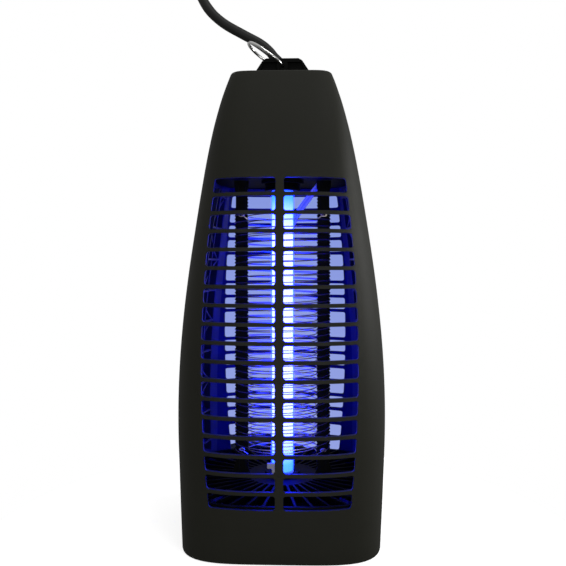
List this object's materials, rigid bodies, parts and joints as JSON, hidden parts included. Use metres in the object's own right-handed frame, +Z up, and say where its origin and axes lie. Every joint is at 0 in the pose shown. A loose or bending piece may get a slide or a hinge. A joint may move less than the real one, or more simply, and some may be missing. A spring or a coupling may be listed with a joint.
{
  "type": "electric bug zapper",
  "caption": "Tall rounded insect killer with a slotted housing round a blacklight tube and wire electrodes, a slide-out catch tray, a hanging ring and a mains cord.",
  "frame": {"origin": "bottom centre of the housing, on the surface it stands on", "axes": "+Z up along the lamp, front grille faces -Y, +X to the right seen from the front"},
  "size_m": [0.1448, 0.2443, 0.412],
  "materials": {
    "housing_plastic": "fine textured moulding, matte",
    "black_plastic": "satin moulding",
    "steel": "drawn and turned steel, satin",
    "chrome": "polished wire",
    "lamp_glass": "phosphor coated tube, lit",
    "cord_rubber": "satin sheath",
    "board_laminate": "solder mask",
    "copper_wire": "enamelled winding",
    "capacitor_shell": "dipped resin, glossy",
    "pale_plastic": "satin moulding",
    "lead_insulation": "smooth insulation",
    "plug_brass": "turned, polished"
  },
  "bodies": {
    "housing": {"front_shell": "housing_plastic", "rear_shell": "housing_plastic", "hanger_bracket": "black_plastic", "cord_strain_relief": "black_plastic", "mains_cord": "cord_rubber", "cord_coil": "cord_rubber", "cord_tail": "cord_rubber", "plug_body": "cord_rubber", "plug_pin_left": "plug_brass", "plug_pin_right": "plug_brass", "top_deck": "black_plastic", "base_spider": "black_plastic", "upper_lamp_holder": "black_plastic", "lower_lamp_holder": "black_plastic", "electrode_post_left": "black_plastic", "electrode_post_right": "black_plastic", "outer_electrode": "steel", "inner_electrode": "steel", "lamp_lead": "lead_insulation", "lead_clip": "pale_plastic", "circuit_board": "board_laminate", "ballast_core": "steel", "ballast_winding": "copper_wire", "capacitor_a": "capacitor_shell", "capacitor_b": "capacitor_shell", "capacitor_c": "capacitor_shell", "lamp_starter": "pale_plastic", "terminal_block": "pale_plastic", "shell_screw_lower_left": "steel", "shell_screw_lower_right": "steel", "shell_screw_upper_left": "steel", "shell_screw_upper_right": "steel"},
    "bail": {"bail_ring": "chrome"},
    "tray": {"catch_tray": "black_plastic"},
    "lamp": {"lamp_tube": "lamp_glass", "lamp_cap_lower": "steel", "lamp_cap_upper": "steel"}
  },
  "joints": [
    {"name": "bail_swing", "type": "hinge", "parent": "housing", "child": "bail", "pos_m": [0, 0, 0.3239], "axis": [0, 1, 0], "range_deg": [-45, 155]},
    {"name": "tray_slide", "type": "slide", "parent": "housing", "child": "tray", "axis": [0, 0, -1], "range_m": [0, 0.04]},
    {"name": "lamp_turn", "type": "hinge", "parent": "housing", "child": "lamp", "pos_m": [0, 0, 0.138], "axis": [0, 0, 1], "range_deg": [0, 90]}
  ]
}
